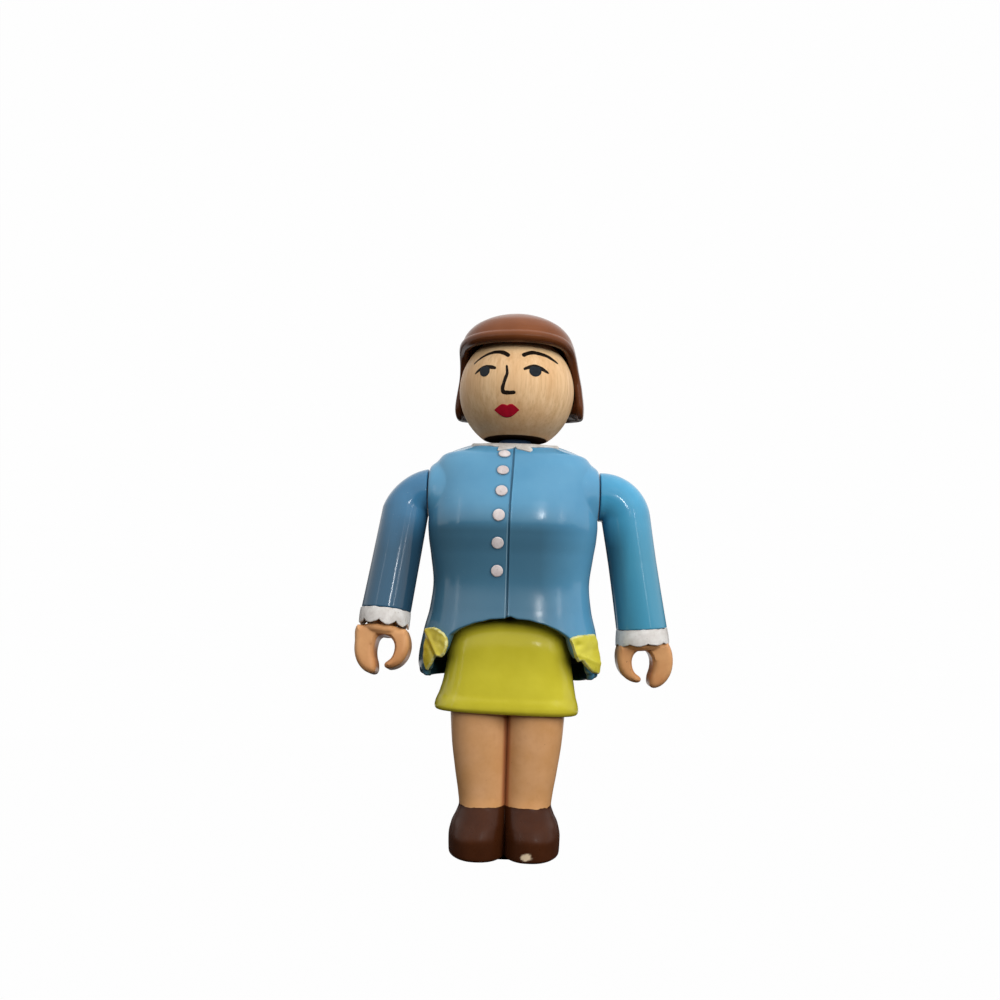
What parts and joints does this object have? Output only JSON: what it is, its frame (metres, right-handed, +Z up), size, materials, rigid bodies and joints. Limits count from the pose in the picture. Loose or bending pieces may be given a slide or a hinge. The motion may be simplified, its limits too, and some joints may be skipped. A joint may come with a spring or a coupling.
{
  "type": "toy woman figure",
  "caption": "Standing toy woman with a round wooden head, bob hair, hollow jacket, swinging arms, clamp hands and a folding skirt and legs.",
  "frame": {"origin": "middle of the soles, on the surface that the figure stands on", "axes": "+Z up along the body, the figure faces -Y, its left hand is on the +X side"},
  "size_m": [0.07, 0.0288, 0.1193],
  "materials": {
    "jacket": "glossy moulded",
    "neck": "satin",
    "head_wood": "sanded and clear coated, painted face",
    "hair": "glossy moulded",
    "cuff": "satin paint",
    "skin": "satin moulded",
    "skirt": "glossy moulded",
    "axle": "dark drawn wire"
  },
  "bodies": {
    "torso": {"torso_front": "jacket", "torso_back": "jacket"},
    "head": {"head_ball": "head_wood", "hair_cap": "hair", "neck_pin": "neck"},
    "left_arm": {"left_sleeve": "jacket", "left_cuff": "cuff"},
    "right_arm": {"right_sleeve": "jacket", "right_cuff": "cuff"},
    "left_hand": {"left_hand": "skin"},
    "right_hand": {"right_hand": "skin"},
    "lower_body": {"skirt": "skirt", "legs": "skin", "hip_axle": "axle"}
  },
  "joints": [
    {"name": "head_turn", "type": "hinge", "parent": "torso", "child": "head", "pos_m": [0, 0, 0.0915], "axis": [0, 0, 1], "continuous": true},
    {"name": "left_shoulder", "type": "hinge", "parent": "torso", "child": "left_arm", "pos_m": [0.0189, 0, 0.0794], "axis": [-1, 0, 0], "continuous": true},
    {"name": "right_shoulder", "type": "hinge", "parent": "torso", "child": "right_arm", "pos_m": [-0.0189, 0, 0.0794], "axis": [-1, 0, 0], "continuous": true},
    {"name": "left_wrist", "type": "hinge", "parent": "left_arm", "child": "left_hand", "pos_m": [0.0293, 0, 0.05043], "axis": [0.0767, 0, -0.9971], "continuous": true},
    {"name": "right_wrist", "type": "hinge", "parent": "right_arm", "child": "right_hand", "pos_m": [-0.02707, -0.00466, 0.05299], "axis": [-0.0767, -0.1731, -0.9819], "continuous": true},
    {"name": "hip", "type": "hinge", "parent": "torso", "child": "lower_body", "pos_m": [0, 0, 0.0435], "axis": [-1, 0, 0], "range_deg": [0, 53]}
  ]
}
